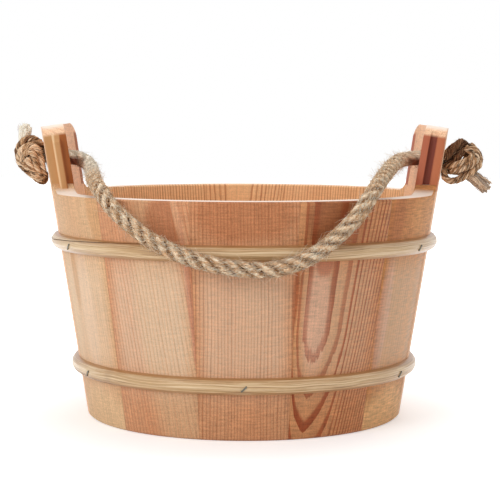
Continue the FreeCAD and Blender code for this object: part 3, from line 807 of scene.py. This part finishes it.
        # the ears' joints above the rim: stain, a painted highlight and painted shadow on the left tongue,
        # painted shade in the right groove
        if "stainAndShade" in grain:
            shoulder, edge, face, back = [linear(tone) for tone in grain["stainAndShade"]]
            tones = (shoulder, edge, edge, face, face, back)
            stops = [(step / pine["stainAndShadeReach"], tone) for step, tone in zip(pine["stainAndShadeSteps"], tones)]
            share = addNode(tree, "MapRange", {"From Max": pine["stainAndShadeReach"]}, deep)
            stainAndShade = addNode(tree, "ValToRGB", {"stops": stops}, share)
            coats.append((stainAndShade, 1.0, (offset, *[half - width / radius for width in pine["stainAndShadeEdge"]]),
                          (high, *pine["stainAndShadeTop"]), (high, *[rim + above for above in pine["stainAndShadeFoot"]])))
        colour = layCoats(tree, colour, coats)
    relief = addNode(tree, "Math", {"operation": "MULTIPLY_ADD"}, lateness, 0.5, noises["fibres"])
    waved = addNode(tree, "Math", {"operation": "MULTIPLY_ADD"}, ripples, 0.5 * grain["ripple"], relief)
    rough = addNode(tree, "MapRange", {"To Min": pine["earlyRoughness"], "To Max": pine["lateRoughness"]},
                    lateness)
    closeMaterial(tree, {"Base Color": colour, "Roughness": rough, "Specular IOR Level": pine["specular"]},
                  waved, pine["bump"])
    return material


# Split and planed cane: pale, hard and shiny along its length, with fine strands and a few joints.
cane = {
    "pale": "#eed2a8",
    "middle": "#cba472",
    "dark": "#8a6034",
    "edge": "#a9743e",  # painted shade: faces of the cane that tilt up or down are painted a darker golden brown
    "edgeShadeShare": 0.75,
    "edgeShadeFacing": (0.45, 0.9),
    "joint": "#8f6238",
    "jointShare": 0.2,
    "jointReach": (0.05, 0.004),  # in radians
    "jointAngles": {"hoop_lower": (222.0, 80.0), "hoop_upper": (160.0, 40.0)},
    "hoopRadius": 125.0,
    "strandWidth": 0.7,
    "strandLength": 70.0,
    "waveScale": 0.02,  # the strands wander up and down a little as the cane goes round
    "waveHeight": 5.0,
    "roughness": 0.34,
    "coat": 0.4,
    "coatRoughness": 0.3,
    "bump": 0.15,
}


def makeCane(name):
    material, tree = newMaterial("cane_" + name)
    sized = addNode(tree, "VectorMath", {"operation": "SCALE", "Scale": 1000.0},
                    addNode(tree, "TexCoord").outputs["Object"])
    x, y, z = addNode(tree, "SeparateXYZ", {}, sized).outputs
    flat = addNode(tree, "CombineXYZ", {}, x, y)
    radius = addNode(tree, "VectorMath", {"operation": "LENGTH"}, flat).outputs["Value"]
    angle = addNode(tree, "Math", {"operation": "ARCTAN2"}, y, x)
    along = addNode(tree, "Math", {"operation": "MULTIPLY"}, angle, cane["hoopRadius"] / cane["strandLength"])
    wave = addNode(tree, "TexNoise", {"Scale": cane["waveScale"], "Detail": 1.0}, flat)
    raised = addNode(tree, "Math", {"operation": "MULTIPLY_ADD"}, wave, cane["waveHeight"], z)
    strandAt = addNode(tree, "CombineXYZ", {}, radius, raised, along)
    width = cane["strandWidth"]
    scaled = addNode(tree, "Mapping", {"Scale": (1 / width, 1 / width, 1.0)}, strandAt)
    strands = addNode(tree, "TexNoise", {"Scale": 1.0, "Detail": 3.0, "Roughness": 0.6}, scaled)
    stops = [(0.28, linear(cane["dark"])), (0.46, linear(cane["middle"])), (0.66, linear(cane["pale"]))]
    colour = addNode(tree, "ValToRGB", {"stops": stops}, strands)
    facing = addNode(tree, "SeparateXYZ", {}, addNode(tree, "NewGeometry").outputs["Normal"]).outputs["Z"]
    upright = addNode(tree, "Math", {"operation": "ABSOLUTE"}, facing)
    # painted shade on the cane's faces that tilt up or down
    coats = [(linear(cane["edge"]), cane["edgeShadeShare"], (upright, *cane["edgeShadeFacing"]))]
    for degrees in cane["jointAngles"][name]:
        radians = math.radians(degrees if degrees <= 180 else degrees - 360)
        away = addNode(tree, "Math", {"operation": "SUBTRACT"}, angle, radians)
        near = addNode(tree, "Math", {"operation": "ABSOLUTE"}, away)
        coats.append((linear(cane["joint"]), cane["jointShare"], (near, *cane["jointReach"], "SMOOTHSTEP")))
    closeMaterial(tree, {"Base Color": layCoats(tree, colour, coats), "Roughness": cane["roughness"],
                         "Coat Weight": cane["coat"], "Coat Roughness": cane["coatRoughness"]},
                  strands, cane["bump"])
    return material


# Zinc-plated steel wire: grey, bright on its round and a little dull.
steel = {"colour": "#8f8c80", "shade": "#47443c", "smooth": 0.25, "dull": 0.5, "grain": 0.4}


def makeSteel():
    material, tree = newMaterial("zinc_plated_steel")
    spots = addNode(tree, "TexNoise", {"Scale": 1000 / steel["grain"], "Detail": 2.0},
                    addNode(tree, "TexCoord").outputs["Object"])
    colour = addNode(tree, "MixRGB", {}, spots, linear(steel["shade"]), linear(steel["colour"]))
    rough = addNode(tree, "MapRange", {"To Min": steel["smooth"], "To Max": steel["dull"]}, spots)
    closeMaterial(tree, {"Base Color": colour, "Metallic": 1.0, "Roughness": rough})
    return material


# finish of the CAD's meshes
finish = {
    "smoothBelow": 28,  # degrees: a sharper edge stays an edge
    "weld": 0.004,
    "bevelAbove": 40,
    "bevelSegments": 2,
    "edges": {"wood": 0.12, "cane": 0.3, "wire": 0.15},
}


def makeSmoother(degrees):
    # shades curved faces smooth and keeps edges sharper than this angle
    group = bpy.data.node_groups.new("smooth_below_" + str(degrees), "GeometryNodeTree")
    for way in ("INPUT", "OUTPUT"):
        group.interface.new_socket("Geometry", in_out=way, socket_type="NodeSocketGeometry")
    start, end, bend, sharp, faces, edges = [group.nodes.new(kind) for kind in (
        "NodeGroupInput", "NodeGroupOutput", "GeometryNodeInputMeshEdgeAngle", "FunctionNodeCompare",
        "GeometryNodeSetShadeSmooth", "GeometryNodeSetShadeSmooth")]
    sharp.data_type = "FLOAT"
    sharp.operation = "LESS_EQUAL"
    sharp.inputs[1].default_value = math.radians(degrees)
    faces.domain = "FACE"
    edges.domain = "EDGE"
    group.links.new(start.outputs[0], faces.inputs["Geometry"])
    group.links.new(faces.outputs[0], edges.inputs["Geometry"])
    group.links.new(bend.outputs["Unsigned Angle"], sharp.inputs[0])
    group.links.new(sharp.outputs[0], edges.inputs["Shade Smooth"])
    group.links.new(edges.outputs[0], end.inputs[0])
    return group


smoother = makeSmoother(finish["smoothBelow"])


def dress(node, material, edge):
    # finish a CAD node: joined corners, softened edges, smooth curves
    piece = nodes[node]
    if not piece.material_slots:
        piece.data.materials.append(material)
    for place in piece.material_slots:
        place.material = material
    weld = piece.modifiers.new("weld", "WELD")
    weld.merge_threshold = finish["weld"] * mm
    bevel = piece.modifiers.new("worn edges", "BEVEL")
    bevel.width = edge * mm
    bevel.segments = finish["bevelSegments"]
    bevel.limit_method = "ANGLE"
    bevel.angle_limit = math.radians(finish["bevelAbove"])
    bevel.harden_normals = False
    smooth = piece.modifiers.new("smooth", "NODES")
    smooth.node_group = smoother


for name, grain in staveGrain.items():
    dress(name, makePine(name, grain), finish["edges"]["wood"])
for name in ("hoop_lower", "hoop_upper"):
    dress(name, makeCane(name), finish["edges"]["cane"])
zinc = makeSteel()
for name in ("staples_lower", "staples_upper"):
    dress(name, zinc, finish["edges"]["wire"])
print("wood, cane and steel finished")

# A white room: the floor and backdrop read white, and soft lamps show colours about as they are written.
room = {
    "floorSize": 8.0,
    "floor": "#f4f4f4",
    "glow": "#ffffff",
    "near": 0.12,  # the paper's own light is weaker round the bucket, so the shadow on it stays
    "far": 0.4,
    "nearGlow": 0.4,
    "farGlow": 0.95,
    "skyLight": 0.46,
    "skyColour": "#ffffff",
    "aim": (0, 0, 0.1),
}
lamps = {
    "key": {"place": (-0.9, -1.1, 0.8), "power": 8.2, "size": 0.8},
    "fill": {"place": (0.95, -0.9, 0.5), "power": 1.5, "size": 0.8},
    "top": {"place": (0.1, 0.35, 1.2), "power": 6.0, "size": 0.9},
}


def rayShare(tree, low, high):
    # `high` for what the eye sees directly, mirrored or through glass, else `low`
    path = addNode(tree, "LightPath").outputs
    seen = path["Is Camera Ray"]
    for kind in ("Is Glossy Ray", "Is Transmission Ray"):
        seen = addNode(tree, "Math", {"operation": "MAXIMUM"}, seen, path[kind])
    return addNode(tree, "MapRange", {"To Min": low, "To Max": high}, seen)


def layFloor():
    mesh = bpy.data.meshes.new("floor")
    half = room["floorSize"] / 2
    corners = [(-half, -half, 0), (half, -half, 0), (half, half, 0), (-half, half, 0)]
    mesh.from_pydata(corners, [], [(0, 1, 2, 3)])
    floor = bpy.data.objects.new("floor", mesh)
    floor.location.z = -0.0002
    scene.collection.objects.link(floor)
    material, tree = newMaterial("white_paper")
    away = addNode(tree, "VectorMath", {"operation": "LENGTH"}, addNode(tree, "TexCoord").outputs["Object"])
    level = addNode(tree, "MapRange", {
        "interpolation_type": "SMOOTHSTEP", "From Min": room["near"], "From Max": room["far"],
        "To Min": room["nearGlow"], "To Max": room["farGlow"]}, away.outputs["Value"])
    glow = addNode(tree, "Math", {"operation": "MULTIPLY"}, level, rayShare(tree, 0.0, 1.0))
    closeMaterial(tree, {"Base Color": linear(room["floor"]), "Roughness": 0.9, "Specular IOR Level": 0.1,
                         "Emission Color": linear(room["glow"]), "Emission Strength": glow})
    mesh.materials.append(material)


def lightRoom():
    world = bpy.data.worlds.new("white room")
    world.use_nodes = True
    tree = world.node_tree
    tree.nodes.clear()
    strength = rayShare(tree, room["skyLight"], 1.0)
    sky = addNode(tree, "Background", {"Color": linear(room["skyColour"]), "Strength": strength})
    addNode(tree, "OutputWorld", {"Surface": sky})
    scene.world = world
    for name, lamp in lamps.items():
        light = bpy.data.lights.new(name, "AREA")
        light.energy = lamp["power"]
        light.size = lamp["size"]
        holder = bpy.data.objects.new(name, light)
        holder.location = lamp["place"]
        toward = Vector(room["aim"]) - Vector(lamp["place"])
        holder.rotation_euler = toward.to_track_quat("-Z", "Y").to_euler()
        scene.collection.objects.link(holder)


layFloor()
lightRoom()
scene.view_settings.view_transform = "Standard"
print("room lit")
